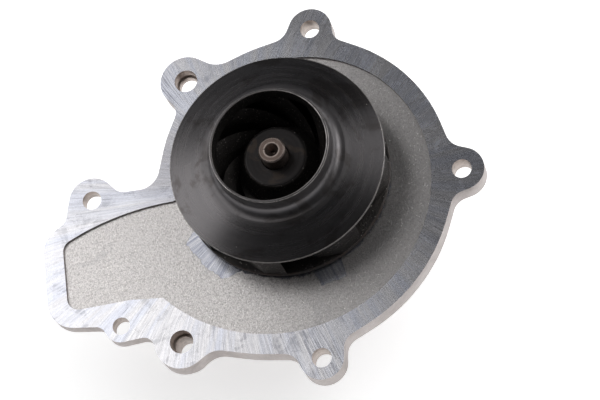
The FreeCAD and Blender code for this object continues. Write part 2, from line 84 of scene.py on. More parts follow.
VANE_WIDEST = 0.30                              # most that half a blade spans, in radians
VANE_SUNK = 0.6                                 # how deep a blade's foot sits in the plate
VANE_STEPS = 40                                 # rows of corners along a blade
VANE_LEVELS = 6                                 # and up it
VANE_CROWDING = 1.3                             # rows stand closer together at the nose
ROUND_STEPS = 224                               # facets in a full turn
SUPPORT = 0.3                                   # how far a support corner is from its end
LAND_RING = 60 * MM                             # middle radius of the sealing land

# which material of the impeller a stretch of its outline has
TURNED, RIM, CAST, RUST, HUB_FACE = range(5)


# ------------------------------------------------------------------ node building

class Nodes:
    """Adds shader or geometry nodes to a tree in one call each, linked as they are made."""

    def __init__(self, tree):
        self.tree = tree

    def add(self, kind, inputs=None, **settings):
        node = self.tree.nodes.new(kind)
        for name, value in settings.items():
            setattr(node, name, value)
        for name, value in (inputs or {}).items():
            socket = node.inputs[name]
            if isinstance(value, bpy.types.NodeSocket):
                self.tree.links.new(value, socket)
            else:
                socket.default_value = value
        return node

    def math(self, operation, first, second=0.0, third=0.0):
        node = self.add("ShaderNodeMath", {0: first, 1: second, 2: third}, operation=operation)
        return node.outputs[0]

    def plus(self, first, second):
        return self.math("ADD", first, second)

    def minus(self, first, second):
        return self.math("SUBTRACT", first, second)

    def times(self, first, second):
        return self.math("MULTIPLY", first, second)

    def over(self, first, second):
        return self.math("DIVIDE", first, second)

    def length(self, x, y):
        return self.math("SQRT", self.plus(self.times(x, x), self.times(y, y)))

    def span(self, value, low, high, out_low=0.0, out_high=1.0, smooth=False):
        """Map low..high to out_low..out_high, clamped."""
        kind = "SMOOTHSTEP" if smooth else "LINEAR"
        node = self.add("ShaderNodeMapRange", {
            "Value": value, "From Min": low, "From Max": high,
            "To Min": out_low, "To Max": out_high}, interpolation_type=kind, clamp=True)
        return node.outputs["Result"]

    def noise(self, where, scale, detail=2.0, rough=0.5, distortion=0.0):
        node = self.add("ShaderNodeTexNoise", {
            "Vector": where, "Scale": scale, "Detail": detail,
            "Roughness": rough, "Distortion": distortion})
        return node.outputs["Fac"]

    def cells(self, where, scale, feature):
        node = self.add("ShaderNodeTexVoronoi", {"Vector": where, "Scale": scale},
                        feature=feature)
        return node.outputs["Distance"]

    def mix(self, share, first, second):
        node = self.add("ShaderNodeMix", data_type="RGBA")
        for socket, value in ((node.inputs[0], share), (node.inputs[6], first),
                              (node.inputs[7], second)):
            if isinstance(value, bpy.types.NodeSocket):
                self.tree.links.new(value, socket)
            else:
                socket.default_value = value
        return node.outputs[2]

    def blend(self, share, first, second):
        node = self.add("ShaderNodeMix", {0: share, 2: first, 3: second}, data_type="FLOAT")
        return node.outputs[0]

    def vector(self, x, y, z):
        return self.add("ShaderNodeCombineXYZ", {"X": x, "Y": y, "Z": z}).outputs[0]

    def parts(self, where):
        node = self.add("ShaderNodeSeparateXYZ", {"Vector": where})
        return node.outputs["X"], node.outputs["Y"], node.outputs["Z"]

    def bump(self, height, depth):
        inputs = {"Height": height, "Strength": 1.0, "Distance": depth}
        return self.add("ShaderNodeBump", inputs).outputs["Normal"]


def effect(name, inputs, outputs):
    """Start a shader node group whose Where input is a place on the piece, in metres."""
    tree = bpy.data.node_groups.new(name, "ShaderNodeTree")
    tree.interface.new_socket("Where", in_out="INPUT", socket_type="NodeSocketVector")
    for label, default in inputs.items():
        socket = tree.interface.new_socket(label, in_out="INPUT", socket_type="NodeSocketFloat")
        socket.default_value = default
    for label in outputs:
        tree.interface.new_socket(label, in_out="OUTPUT", socket_type="NodeSocketFloat")
    nodes_in = tree.nodes.new("NodeGroupInput")
    nodes_out = tree.nodes.new("NodeGroupOutput")
    return tree, Nodes(tree), nodes_in.outputs, nodes_out.inputs


def use(n, group, where, **values):
    """Place a shared effect; an underscore in a value's name stands for a space."""
    inputs = {label.replace("_", " "): value for label, value in values.items()}
    node = n.add("ShaderNodeGroup", node_tree=group)
    n.tree.links.new(where, node.inputs["Where"])
    for label, value in inputs.items():
        node.inputs[label].default_value = value
    return node.outputs


# ------------------------------------------------------------------ shared effects

def sand_cast_grain():
    """Skin left by a blasted die: packed grains of uneven size."""
    tree, n, given, out = effect("sand cast grain", {"Grain Size": 0.45 * MM}, ("Height", "Painted Glint"))
    scale = n.over(1.0, given["Grain Size"])
    coarse = n.cells(given["Where"], n.times(scale, 0.9), "SMOOTH_F1")
    fine = n.noise(given["Where"], n.times(scale, 1.7), 3.0, 0.6)
    lumps = n.noise(given["Where"], n.times(scale, 0.35), 2.0, 0.5)
    height = n.plus(n.times(coarse, -0.7), n.times(fine, 0.8))
    height = n.plus(height, n.times(lumps, 0.5))
    # speck cells, which the materials paint bright in colour as painted glints
    speck = n.cells(given["Where"], n.times(scale, 0.42), "F1")
    n.tree.links.new(height, out["Height"])
    n.tree.links.new(n.span(speck, 0.10, 0.20, 1.0, 0.0), out["Painted Glint"])
    return tree


# how far the cutter marks lean off the spoke at each place round the land:
# waves per turn, size and phase
LEAN_WAVES = ((1.0, 0.25, 2.86), (2.0, 0.23, 0.14), (3.0, 0.19, 0.18))
STREAK_LENGTH = 26.0            # how many times longer than wide a cutter mark is


def cutter_streaks():
    """Marks of a wide face mill: fine lines across the land whose lean changes round it."""
    tree, n, given, out = effect("cutter streaks", {"Spacing": 0.5 * MM, "Lean": 1.0},
                                 ("Fine", "Broad"))
    x, y, _ = n.parts(given["Where"])
    radius = n.length(x, y)
    turn = n.math("ARCTAN2", y, x)
    lean = 0.0
    for waves, size, phase in LEAN_WAVES:
        wave = n.math("SINE", n.math("MULTIPLY_ADD", turn, waves, phase))
        lean = n.math("MULTIPLY_ADD", wave, size, lean)
    lean = n.times(lean, given["Lean"])
    stretch = n.math("LOGARITHM", n.over(radius, LAND_RING), math.e)
    bent = n.minus(turn, n.times(lean, stretch))
    reach = n.over(LAND_RING, given["Spacing"])
    across_x = n.times(n.math("COSINE", bent), reach)
    across_y = n.times(n.math("SINE", bent), reach)
    along = n.over(radius, n.times(given["Spacing"], STREAK_LENGTH))
    where = n.vector(across_x, across_y, along)
    n.tree.links.new(n.noise(where, 1.0, 2.0, 0.55), out["Fine"])
    n.tree.links.new(n.noise(where, 0.26, 4.0, 0.62), out["Broad"])
    return tree


def lathe_lines():
    """Tool rings of a turned piece, which follow its radius and height."""
    tree, n, given, out = effect("lathe lines", {"Feed": 0.12 * MM}, ("Height", "Tone"))
    x, y, z = n.parts(given["Where"])
    across = n.over(n.plus(n.length(x, y), n.times(z, 1.3)), given["Feed"])
    around = n.times(n.math("ARCTAN2", y, x), 0.8)
    height = n.noise(n.vector(across, around, 0.0), 1.0, 2.0, 0.5)
    tone = n.noise(n.vector(n.times(across, 0.16), around, 7.0), 1.0, 3.0, 0.6)
    n.tree.links.new(height, out["Height"])
    n.tree.links.new(tone, out["Tone"])
    return tree


def stain_patches():
    """Blotches of dried coolant and handling marks with soft, broken edges."""
    tree, n, given, out = effect("stain patches", {"Patch Size": 9 * MM, "Amount": 0.5},
                                 ("Mask", "Drift"))
    scale = n.over(1.0, given["Patch Size"])
    patches = n.noise(given["Where"], scale, 5.0, 0.62, 0.6)
    edge = n.minus(0.72, n.times(given["Amount"], 0.3))
    mask = n.span(patches, edge, n.plus(edge, 0.09), smooth=True)
    drift = n.noise(given["Where"], n.times(scale, 0.28), 2.0, 0.5)
    n.tree.links.new(mask, out["Mask"])
    n.tree.links.new(drift, out["Drift"])
    return tree


def dust_specks():
    """Sparse tiny grains of dust and lint."""
    tree, n, given, out = effect("dust specks", {"Speck Size": 0.12 * MM, "Spread": 3.4 * MM},
                                 ("Mask",))
    cell = n.add("ShaderNodeTexVoronoi", {"Vector": given["Where"],
                                         "Scale": n.over(1.0, given["Spread"])})
    reach = n.over(given["Speck Size"], given["Spread"])
    size = n.times(reach, n.span(n.parts(cell.outputs["Color"])[0], 0.3, 1.0, 0.0, 2.0))
    n.tree.links.new(n.math("LESS_THAN", cell.outputs["Distance"], size), out["Mask"])
    return tree


SCRATCH_WAYS = ((0.7, 2.0), (-0.5, 9.0))        # direction in radians, seed
SCRATCH_LENGTH = 9                              # times the spacing


def fine_scratches():
    """Random straight hairline scratches in two directions."""
    tree, n, given, out = effect("fine scratches", {"Spacing": 2.6 * MM}, ("Mask",))
    x, y, _ = n.parts(given["Where"])
    masks = []
    for turn, seed in SCRATCH_WAYS:
        along = n.plus(n.times(x, math.cos(turn)), n.times(y, math.sin(turn)))
        across = n.minus(n.times(y, math.cos(turn)), n.times(x, math.sin(turn)))
        where = n.vector(n.over(across, given["Spacing"]),
                         n.over(along, n.times(given["Spacing"], SCRATCH_LENGTH)), seed)
        line = n.noise(where, 1.0, 4.0, 0.75)
        masks.append(n.span(n.math("ABSOLUTE", n.minus(line, 0.62)), 0.0, 0.012, 1, 0))
    n.tree.links.new(n.math("MAXIMUM", masks[0], masks[1]), out["Mask"])
    return tree


GRAIN = sand_cast_grain()
STREAKS = cutter_streaks()
LATHE = lathe_lines()
STAINS = stain_patches()
DUST = dust_specks()
SCRATCHES = fine_scratches()


# ------------------------------------------------------------------ materials

def new_material(name):
    material = bpy.data.materials.new(name)
    material.use_nodes = True
    material.node_tree.nodes.clear()
    n = Nodes(material.node_tree)
    place = n.add("ShaderNodeTexCoord").outputs["Object"]
    return material, n, place


def close_material(n, shader_inputs, normal):
    shader = n.add("ShaderNodeBsdfPrincipled", {**shader_inputs, "Normal": normal})
    n.add("ShaderNodeOutputMaterial", {"Surface": shader.outputs[0]})


# where handling has dulled the land: centre x, y and reach in millimetres, strength
SMUDGES = ((-46.0, 9.0, 27.0, 0.62), (-73.0, -1.0, 20.0, 0.28), (56.0, -16.0, 34.0, 0.28),
           (9.0, 60.0, 20.0, 0.22), (-12.0, -61.0, 26.0, 0.14))


def milled_aluminium():
    """The face-milled sealing land: bright, bluish, streaked and stained."""
    material, n, place = new_material("milled_land")
    streaks = use(n, STREAKS, place, Spacing=0.42 * MM, Lean=1.0)
    second = use(n, STREAKS, place, Spacing=1.3 * MM, Lean=0.5)
    stains = use(n, STAINS, place, Patch_Size=7 * MM, Amount=0.62)
    marks = use(n, SCRATCHES, place, Spacing=2.2 * MM)["Mask"]
    broad = n.span(streaks["Broad"], 0.35, 0.68)
    fine = n.span(streaks["Fine"], 0.32, 0.68)
    x, y, _ = n.parts(place)
    # the marks are rubbed nearly away towards the outlet pad
    kept = n.span(n.math("MULTIPLY_ADD", y, 0.6, x), -76 * MM, -34 * MM, 0.25, 1.0, smooth=True)
    crowded = n.times(n.span(n.noise(place, 48.0, 2.0, 0.5), 0.46, 0.62), kept)
    lines = n.times(n.span(streaks["Fine"], 0.52, 0.62), crowded)
    mottle = n.noise(place, 1100.0, 2.0, 0.6)
    soot_and_painted_shade = n.times(stains["Mask"], n.span(streaks["Fine"], 0.40, 0.58, 0.35, 1.0))
    tint = n.span(second["Broad"], 0.42, 0.60)
    colour = n.mix(tint, (0.81, 0.795, 0.805, 1), (0.71, 0.725, 0.80, 1))
    colour = n.mix(n.times(broad, 0.26), colour, (0.52, 0.53, 0.60, 1))
    colour = n.mix(n.times(n.times(fine, kept), 0.22), colour, (0.34, 0.35, 0.41, 1))
    colour = n.mix(n.span(mottle, 0.3, 0.7, 0.0, 0.14), colour, (0.30, 0.30, 0.34, 1))
    colour = n.mix(n.times(n.times(soot_and_painted_shade, kept), 0.38), colour, (0.24, 0.25, 0.32, 1))
    colour = n.mix(n.times(lines, 0.44), colour, (0.16, 0.165, 0.20, 1))
    colour = n.mix(n.times(marks, 0.15), colour, (0.92, 0.92, 0.93, 1))
    for spot_x, spot_y, reach, amount in SMUDGES:
        away = n.length(n.minus(x, spot_x * MM), n.minus(y, spot_y * MM))
        smudge = n.span(away, 0.15 * reach * MM, reach * MM, amount, 0.0, smooth=True)
        colour = n.mix(smudge, colour, (0.30, 0.295, 0.32, 1))
    rough = n.plus(n.span(fine, 0.0, 1.0, 0.20, 0.28), n.times(soot_and_painted_shade, 0.08))
    height = n.minus(fine, n.times(marks, 0.5))
    close_material(n, {"Base Color": colour, "Metallic": 0.97, "Roughness": rough},
                   n.bump(height, 0.002 * MM))
    return material


# bright patches where the spot-facing cutter broke through the cast skin:
# direction from the shaft in degrees, half width in degrees, extra reach in millimetres
CUTTER_PATCHES = ((-135.0, 19.0, 5.4), (-68.0, 8.5, 6.0))
CUTTER_REACH = 38 * MM
CUTTER_RAGGED = 5 * MM          # how much the edge of the cut wanders


def blasted_floor():
    """The recess floor: fine cast grain with painted glints, bright cutter patches near the
    impeller, and painted shade that darkens it towards +x.
    """
    material, n, place = new_material("blasted_floor")
    x, y, _ = n.parts(place)
    grain = use(n, GRAIN, place, Grain_Size=0.33 * MM)
    stains = use(n, STAINS, place, Patch_Size=16 * MM, Amount=0.45)
    turn = n.math("ARCTAN2", y, x)
    ragged = n.noise(place, 230.0, 4.0, 0.6)
    reach = n.math("MULTIPLY_ADD", n.minus(ragged, 0.5), CUTTER_RAGGED, CUTTER_REACH)
    for middle, half, extra in CUTTER_PATCHES:
        away = n.math("ABSOLUTE", n.minus(turn, math.radians(middle)))
        inside = n.span(away, math.radians(half), math.radians(half * 0.72), 0.0, extra * MM)
        reach = n.plus(reach, inside)
    milled = n.span(n.minus(reach, n.length(x, y)), 0.0, 0.3 * MM)
    streaks = use(n, STREAKS, place, Spacing=0.42 * MM, Lean=0.4)
    nicks = use(n, DUST, place, Speck_Size=0.22 * MM, Spread=5.5 * MM)["Mask"]
    # painted shade: the floor's colour darkens from x = -30 mm to x = 48 mm, standing in for the
    # shade on that side of the impeller
    soot_and_painted_shade = n.span(x, -30 * MM, 48 * MM, 0.0, 0.66, smooth=True)
    body = n.mix(n.span(stains["Drift"], 0.35, 0.65),
                 (0.98, 0.94, 0.925, 1), (0.91, 0.875, 0.865, 1))
    body = n.mix(n.span(grain["Height"], 0.14, 0.54, 0.85, 0.0), body, (0.44, 0.415, 0.405, 1))
    body = n.mix(soot_and_painted_shade, body, (0.24, 0.23, 0.23, 1))
    # painted glints: the grain's specks are painted near white
    body = n.mix(n.times(grain["Painted Glint"], 0.85), body, (0.97, 0.95, 0.93, 1))
    body = n.mix(n.times(stains["Mask"], 0.18), body, (0.30, 0.30, 0.32, 1))
    bare = n.mix(n.span(streaks["Fine"], 0.36, 0.64), (0.72, 0.72, 0.75, 1), (0.47, 0.48, 0.54, 1))
    bare = n.mix(n.span(streaks["Broad"], 0.42, 0.66, 0.0, 0.7), bare, (0.24, 0.26, 0.35, 1))
    colour = n.mix(milled, body, bare)
    colour = n.mix(n.times(nicks, 0.8), colour, (0.95, 0.95, 0.93, 1))
    rough = n.minus(n.blend(milled, 0.31, 0.26), n.times(grain["Painted Glint"], 0.12))
    height = n.blend(milled, grain["Height"], n.times(streaks["Fine"], 0.2))
    close_material(n, {"Base Color": colour, "Metallic": 0.88, "Roughness": rough},
                   n.bump(height, 0.055 * MM))
    return material


def cast_skin(name, light, dark, grain_size, depth, metallic):
    """As-cast aluminium: grains on slow waves, with dirt in the hollows."""
    material, n, place = new_material(name)
    grain = use(n, GRAIN, place, Grain_Size=grain_size)
    stains = use(n, STAINS, place, Patch_Size=11 * MM, Amount=0.5)
    waves = n.noise(place, 90.0, 3.0, 0.55)
    colour = n.mix(n.span(waves, 0.3, 0.7), light, dark)
    colour = n.mix(n.span(grain["Height"], 0.2, 0.9, 0.4, 0.0), colour, (0.22, 0.205, 0.19, 1))
    colour = n.mix(n.times(stains["Mask"], 0.35), colour, (0.27, 0.25, 0.235, 1))
    rough = n.span(waves, 0.2, 0.8, 0.42, 0.62)
    height = n.plus(n.times(grain["Height"], 0.6), n.times(waves, 2))
    close_material(n, {"Base Color": colour, "Metallic": metallic, "Roughness": rough},
                   n.bump(height, depth))
    return material


def bored_wall():
    """Drilled and reamed hole walls, browned by cutting oil."""
    material, n, place = new_material("bored_wall")
    x, _, z = n.parts(place)
    rings = n.noise(n.vector(0.0, n.times(x, 40.0), n.over(z, 0.16 * MM)), 1.0, 2.0, 0.5)
    stains = use(n, STAINS, place, Patch_Size=3 * MM, Amount=0.7)
    colour = n.mix(n.span(rings, 0.3, 0.7), (0.60, 0.525, 0.48, 1), (0.40, 0.335, 0.30, 1))
    colour = n.mix(n.times(stains["Mask"], 0.5), colour, (0.22, 0.19, 0.17, 1))
    close_material(n, {"Base Color": colour, "Metallic": 0.75,
                       "Roughness": n.span(rings, 0.3, 0.7, 0.30, 0.48)},
                   n.bump(rings, 0.02 * MM))
    return material


def filed_edge():
    """Deburred corners, polished bright by handling."""
    material, n, place = new_material("filed_edge")
    chatter = n.noise(place, 1400.0, 3.0, 0.6)
    drift = n.noise(place, 120.0, 3.0, 0.6)
    colour = n.mix(n.span(drift, 0.35, 0.7), (0.86, 0.86, 0.88, 1), (0.52, 0.50, 0.49, 1))
    close_material(n, {"Base Color": colour, "Metallic": 0.85,
                       "Roughness": n.span(chatter, 0.3, 0.7, 0.24, 0.42)},
                   n.bump(chatter, 0.02 * MM))
    return material


def black_turned():
    """The impeller's outside: black coated iron, turned, with rubbed edges and dust."""
    material, n, place = new_material("black_turned")
    x, y, _ = n.parts(place)
    lathe_marks = use(n, LATHE, place, Feed=0.16 * MM)
    stains = use(n, STAINS, place, Patch_Size=12 * MM, Amount=0.6)
    dust = use(n, DUST, place, Speck_Size=0.13 * MM, Spread=4.2 * MM)["Mask"]
    marks = use(n, SCRATCHES, place, Spacing=3.0 * MM)["Mask"]
    pores = n.noise(place, 1500.0, 3.0, 0.6)
    colour = n.mix(n.span(lathe_marks["Tone"], 0.3, 0.7), (0.125, 0.119, 0.122, 1),
                   (0.160, 0.151, 0.154, 1))
    colour = n.mix(n.times(stains["Mask"], 0.60), colour, (0.078, 0.069, 0.066, 1))
    colour = n.mix(n.times(marks, 0.08), colour, (0.32, 0.31, 0.31, 1))
    colour = n.mix(n.times(dust, 0.75), colour, (0.50, 0.47, 0.42, 1))
    # the fillet under the neck is out of the polishing wheel's reach, so it stays duller
    from_fillet = n.math("ABSOLUTE", n.minus(n.length(x, y), (NECK + FLARE[0]) / 2 * MM))
    rough = n.plus(n.span(lathe_marks["Tone"], 0.25, 0.75, 0.23, 0.30),
                   n.span(from_fillet, 1.8 * MM, 4.2 * MM, 0.13, 0.0, smooth=True))
    rough = n.plus(rough, n.times(dust, 0.4))
    height = n.plus(n.times(lathe_marks["Height"], 0.5), n.times(pores, 1.7))
    close_material(n, {"Base Color": colour, "Metallic": 0.97, "Roughness": rough},
                   n.bump(height, 0.010 * MM))
    return material


def black_cast():
    """The impeller's passages: rough black cast iron, with bright specks painted on as glints."""
    material, n, place = new_material("black_cast")
    grain = use(n, GRAIN, place, Grain_Size=0.50 * MM)
    damp = n.noise(place, 140.0, 3.0, 0.6)
    colour = n.mix(n.span(damp, 0.3, 0.7), (0.050, 0.047, 0.046, 1), (0.085, 0.078, 0.073, 1))
    # painted glints: the grain's specks are painted a light grey on the black
    colour = n.mix(n.times(grain["Painted Glint"], 0.9), colour, (0.62, 0.58, 0.55, 1))
    rough = n.minus(0.46, n.times(grain["Painted Glint"], 0.2))
    close_material(n, {"Base Color": colour, "Metallic": 0.9, "Roughness": rough},
                   n.bump(grain["Height"], 0.22 * MM))
    return material


def rubbed_rim():
    """Rims and corners of the impeller where the black has worn through to bright iron."""
    material, n, place = new_material("rubbed_rim")
    wear = n.noise(place, 420.0, 4.0, 0.65)
    broad = n.noise(place, 60.0, 2.0, 0.5)
    bare = n.times(n.span(wear, 0.32, 0.52), n.span(broad, 0.35, 0.6, 0.55, 1.0))
    colour = n.mix(bare, (0.11, 0.105, 0.105, 1), (0.38, 0.355, 0.34, 1))
    close_material(n, {"Base Color": colour, "Metallic": n.span(bare, 0, 1, 0.6, 0.95),
                       "Roughness": n.span(wear, 0.3, 0.7, 0.40, 0.26)},
                   n.bump(wear, 0.03 * MM))
    return material


def rusted_edge():
    """The back plate's outer edge: black iron with a bloom of brown rust."""
    material, n, place = new_material("rusted_edge")
    bloom = n.noise(place, 240.0, 5.0, 0.65)
    grain = use(n, GRAIN, place, Grain_Size=0.5 * MM)
    colour = n.mix(n.span(bloom, 0.42, 0.66), (0.050, 0.045, 0.043, 1), (0.066, 0.046, 0.037, 1))
    close_material(n, {"Base Color": colour, "Metallic": 0.35,
                       "Roughness": n.span(bloom, 0.4, 0.7, 0.40, 0.72)},
                   n.bump(grain["Height"], 0.12 * MM))
    return material


def turned_steel(name, light, dark, rough, feed, oil=0.3):
    """Turned or ground steel with tool rings and a film of oil."""
    material, n, place = new_material(name)
    lathe_marks = use(n, LATHE, place, Feed=feed)
    stains = use(n, STAINS, place, Patch_Size=6 * MM, Amount=0.6)
    colour = n.mix(n.span(lathe_marks["Tone"], 0.3, 0.7), light, dark)
    colour = n.mix(n.times(stains["Mask"], oil), colour, (0.12, 0.085, 0.06, 1))
    close_material(n, {"Base Color": colour, "Metallic": 0.92,
                       "Roughness": n.span(lathe_marks["Height"], 0.3, 0.7, rough[0], rough[1])},
                   n.bump(lathe_marks["Height"], 0.010 * MM))
    return material


CHAMFER = (4.0 * MM, 4.35 * MM)     # radii over which the nose's chamfer is painted bright as a highlight
CENTRE_RING = 2.62 * MM             # radius of the lathe centre's mouth


def shaft_nose():
    """The shaft's end: browned steel, with a painted highlight on its chamfer and on the ring
    round its lathe centre.
    """
    material, n, place = new_material("shaft_steel")
    x, y, _ = n.parts(place)
    radius = n.length(x, y)
    lathe_marks = use(n, LATHE, place, Feed=0.10 * MM)
    wear = n.noise(place, 900.0, 3.0, 0.6)
    chamfer = n.span(radius, CHAMFER[0], CHAMFER[1])
    ring = n.span(n.math("ABSOLUTE", n.minus(radius, CENTRE_RING)), 0.18 * MM, 0.42 * MM, 1.0, 0.0)
    # painted highlight: the chamfer and the ring round the lathe centre are painted bright, broken
    # up by noise
    bright = n.times(n.math("MAXIMUM", chamfer, ring), n.span(wear, 0.3, 0.55, 0.45, 1.0))
    colour = n.mix(n.span(lathe_marks["Tone"], 0.3, 0.7),
                   (0.205, 0.155, 0.135, 1), (0.145, 0.110, 0.095, 1))
    colour = n.mix(bright, colour, (0.46, 0.385, 0.345, 1))
    close_material(n, {"Base Color": colour, "Metallic": 0.92,
                       "Roughness": n.span(wear, 0.3, 0.7, 0.26, 0.40)},
                   n.bump(lathe_marks["Height"], 0.010 * MM))
    return material


def moulded(name, light, dark, roughness, grain_size, depth):
    """Rubber, carbon, ceramic or polymer: a fine even surface with soft colour drift."""
    material, n, place = new_material(name)
    drift = n.noise(place, 180.0, 3.0, 0.55)
    skin = n.noise(place, 1.0 / grain_size, 3.0, 0.6)
    colour = n.mix(n.span(drift, 0.3, 0.7), light, dark)
    close_material(n, {"Base Color": colour, "Metallic": 0.0,
                       "Roughness": n.span(skin, 0.3, 0.7, roughness - 0.07, roughness + 0.07)},
                   n.bump(skin, depth))
    return material


def white_paper():
    material, n, place = new_material("white_paper")
    fibre = n.noise(place, 900.0, 3.0, 0.6)
    colour = n.mix(fibre, (0.90, 0.90, 0.905, 1), (0.93, 0.93, 0.93, 1))
    close_material(n, {"Base Color": colour, "Roughness": 0.9, "Emission Color": (1, 1, 1, 1),
                       "Emission Strength": 0.55}, n.bump(fibre, 0.01 * MM))
    return material


# ------------------------------------------------------------------ mesh helpers

def link_mesh(name, mesh):
    piece = bpy.data.objects.new(name, mesh)
    bpy.context.scene.collection.objects.link(piece)
    return piece


def finish_mesh(bm, name, materials=()):
    """Turn a bmesh into a linked piece that has the materials."""
    mesh = bpy.data.meshes.new(name)
    bm.to_mesh(mesh)
    bm.free()
    for material in materials:
        mesh.materials.append(material)
    return link_mesh(name, mesh)


SHARP_ANGLE = 35.0              # degrees between two faces from which their edge stays sharp


def settle(piece, sharp_angle=SHARP_ANGLE):
    """Apply the piece's modifiers, smooth it and keep its real corners sharp."""
    bpy.context.view_layer.update()
    ready = piece.evaluated_get(bpy.context.evaluated_depsgraph_get())
    mesh = bpy.data.meshes.new_from_object(ready)
    piece.modifiers.clear()
    piece.data = mesh
    mesh.polygons.foreach_set("use_smooth", [True] * len(mesh.polygons))
    mesh.set_sharp_from_angle(angle=math.radians(sharp_angle))
    return piece


def arc(start, middle, stop, steps):
    """Points after start, up to stop, on the circle through three (radius, height) points."""
    (x1, y1), (x2, y2), (x3, y3) = start, middle, stop
    d = 2 * (x1 * (y2 - y3) + x2 * (y3 - y1) + x3 * (y1 - y2))
    s1, s2, s3 = (x * x + y * y for x, y in (start, middle, stop))
    cx = (s1 * (y2 - y3) + s2 * (y3 - y1) + s3 * (y1 - y2)) / d
    cy = (s1 * (x3 - x2) + s2 * (x1 - x3) + s3 * (x2 - x1)) / d
    radius = math.hypot(x1 - cx, y1 - cy)
    a1 = math.atan2(y1 - cy, x1 - cx)
    sweep = (math.atan2(y3 - cy, x3 - cx) - a1 + math.pi) % (2 * math.pi) - math.pi
    return [(cx + radius * math.cos(a1 + sweep * k / steps),
             cy + radius * math.sin(a1 + sweep * k / steps)) for k in range(1, steps + 1)]


def height_at(profile, radius):
    """Height of a (radius, height) polyline at a radius."""
    for (r1, z1), (r2, z2) in zip(profile, profile[1:]):
        low, high = min(r1, r2), max(r1, r2)
        if low <= radius <= high and high > low:
            return z1 + (z2 - z1) * (radius - r1) / (r2 - r1)
    return profile[-1][1] if radius > profile[-1][0] else profile[0][1]


def with_support(outline):
    """Add a corner close to each end of a long stretch, so that it shades flat between them."""
    full = []
    for start, stop in zip(outline, outline[1:] + outline[:1]):
        full.append(start)
        length = math.hypot(stop[0] - start[0], stop[1] - start[1])
        if length > 5 * SUPPORT:
            for share in (SUPPORT / length, 1 - SUPPORT / length):
                full.append((start[0] + (stop[0] - start[0]) * share,
                             start[1] + (stop[1] - start[1]) * share, start[2]))
    return full


def place_at(radius, turn, height):
    """A place in metres from a radius and a height above the land, both in millimetres."""
    return radius * MM * math.cos(turn), radius * MM * math.sin(turn), LAND + height * MM


def lathe(name, outline, materials):
    """Spin a closed outline of (radius, height, material number) corners round the shaft.

    A corner's material is that of the stretch that starts there.
    """
    bm = bmesh.new()
    rings = []
    outline = with_support(outline)
    for radius, height, _ in outline:
        turns = (2 * math.pi * k / ROUND_STEPS for k in range(ROUND_STEPS))
        rings.append([bm.verts.new(place_at(radius, turn, height)) for turn in turns])
    for index, ring in enumerate(rings):
        after = rings[(index + 1) % len(rings)]
        for k in range(ROUND_STEPS):
            next_k = (k + 1) % ROUND_STEPS
            face = bm.faces.new((ring[k], ring[next_k], after[next_k], after[k]))
            face.material_index = outline[index][2]
    bmesh.ops.recalc_face_normals(bm, faces=bm.faces)
    return finish_mesh(bm, name, materials)


def join(name, pieces):
    """Merge finished pieces of one body into one mesh with one shared material list."""
    bm = bmesh.new()
    materials = []
    for piece in pieces:
        numbers = []
        for material in piece.data.materials:
            if material not in materials:
                materials.append(material)
            numbers.append(materials.index(material))
        first = len(bm.faces)
        bm.from_mesh(piece.data)
        bm.faces.ensure_lookup_table()
        for face in bm.faces[first:]:
            face.material_index = numbers[face.material_index]
        bpy.data.objects.remove(piece)
    return finish_mesh(bm, name, materials)


# ------------------------------------------------------------------ geometry nodes

def ring_of_copies():
    """Copies of the incoming mesh, evenly round the shaft."""
    tree = bpy.data.node_groups.new("ring of copies", "GeometryNodeTree")
    tree.interface.new_socket("Geometry", in_out="INPUT", socket_type="NodeSocketGeometry")
    count = tree.interface.new_socket("Count", in_out="INPUT", socket_type="NodeSocketInt")
    finish = tree.interface.new_socket("Finish", in_out="INPUT", socket_type="NodeSocketMaterial")
    tree.interface.new_socket("Geometry", in_out="OUTPUT", socket_type="NodeSocketGeometry")
    n = Nodes(tree)
    given = tree.nodes.new("NodeGroupInput").outputs
    points = n.add("GeometryNodePoints", {"Count": given["Count"]}).outputs[0]
    index = n.add("GeometryNodeInputIndex").outputs[0]
    step = n.over(2 * math.pi, given["Count"])
    turn = n.vector(0.0, 0.0, n.times(index, step))
    copies = n.add("GeometryNodeInstanceOnPoints", {
        "Points": points, "Instance": given["Geometry"], "Rotation": turn}).outputs[0]
    real = n.add("GeometryNodeRealizeInstances", {"Geometry": copies}).outputs[0]
    ready = n.add("GeometryNodeSetMaterial", {"Geometry": real, "Material": given["Finish"]})
    out = tree.nodes.new("NodeGroupOutput")
    tree.links.new(ready.outputs[0], out.inputs[0])
    return tree, count.identifier, finish.identifier


COPIES, COPIES_COUNT, COPIES_FINISH = ring_of_copies()


def copied_round(piece, count, finish):
    """Replace a piece by count copies of itself, evenly round the shaft."""
    modifier = piece.modifiers.new("ring of copies", "NODES")
    modifier.node_group = COPIES
    modifier[COPIES_COUNT] = count
    modifier[COPIES_FINISH] = finish
    return settle(piece)


# ------------------------------------------------------------------ impeller

